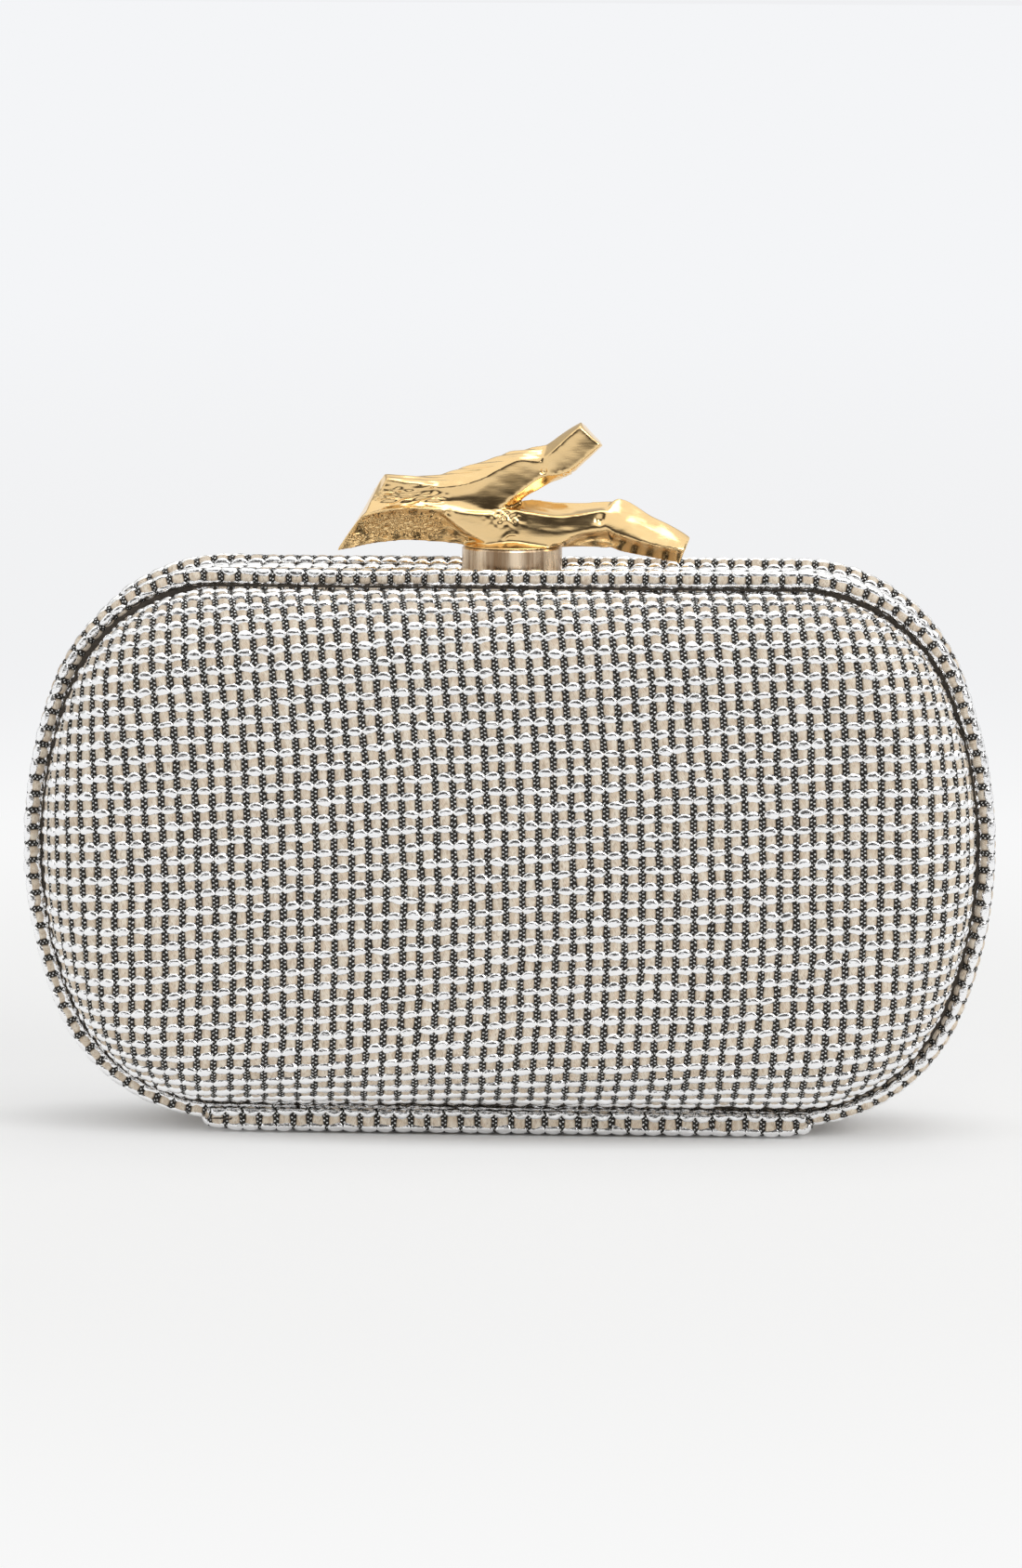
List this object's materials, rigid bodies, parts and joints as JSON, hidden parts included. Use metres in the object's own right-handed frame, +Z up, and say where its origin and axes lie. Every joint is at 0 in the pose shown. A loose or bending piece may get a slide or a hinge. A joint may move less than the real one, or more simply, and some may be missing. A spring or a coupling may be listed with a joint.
{
  "type": "hard box clutch bag",
  "caption": "Rounded oblong hard evening clutch in woven metallic tweed with piped edges, hinged along its base and closed by a cast branch turn clasp.",
  "frame": {"origin": "on the surface the bag stands on, under the middle of the base strip, at the seam between the halves", "axes": "+X along the bag's length, -Y out of its front, +Z up through the clasp"},
  "size_m": [0.19, 0.0568, 0.1395],
  "materials": {
    "tweed": "woven, beige and black yarn with silver foil weft",
    "satin": "satin lining",
    "shell": "moulded, hidden under the cover",
    "cotton": "twisted cotton cord",
    "brushed_gold": "brushed pale gold plate",
    "polished_gold": "polished gold plate on a casting",
    "steel": "plain"
  },
  "bodies": {
    "rear_half": {"rear_panel": "tweed", "rear_dome": "shell", "rear_dome_lining": "satin", "rear_frame": "brushed_gold", "rear_band_cover": "tweed", "rear_band_lining": "satin", "rear_piping": "tweed", "rear_piping_cord": "cotton", "base_strip_rear": "tweed", "base_strip_fold": "tweed", "hinge_leaf_rear": "brushed_gold", "hinge_pin": "steel", "hinge_rivets_rear": "brushed_gold", "keeper": "steel", "keeper_screws": "steel", "slip_pocket": "satin"},
    "front_half": {"front_panel": "tweed", "front_dome": "shell", "front_dome_lining": "satin", "front_frame": "brushed_gold", "front_band_cover": "tweed", "front_band_lining": "satin", "front_piping": "tweed", "front_piping_cord": "cotton", "base_strip_front": "tweed", "hinge_leaf_front": "brushed_gold", "hinge_rivets_front": "brushed_gold", "clasp_bracket": "brushed_gold", "clasp_boss": "brushed_gold", "clasp_screws": "steel"},
    "clasp_knob": {"twig": "polished_gold", "spindle": "steel", "latch_cam": "steel", "spindle_nut": "steel", "wave_washer": "steel"}
  },
  "joints": [
    {"name": "shell_open", "type": "hinge", "parent": "rear_half", "child": "front_half", "pos_m": [0, 0, 0.0019], "axis": [1, 0, 0], "range_deg": [0, 80], "deforming": ["keeper", "base_strip_fold"]},
    {"name": "twig_turn", "type": "hinge", "parent": "front_half", "child": "clasp_knob", "pos_m": [0, 0, 0.1148], "axis": [0, 0, 1], "range_deg": [0, 90]}
  ]
}
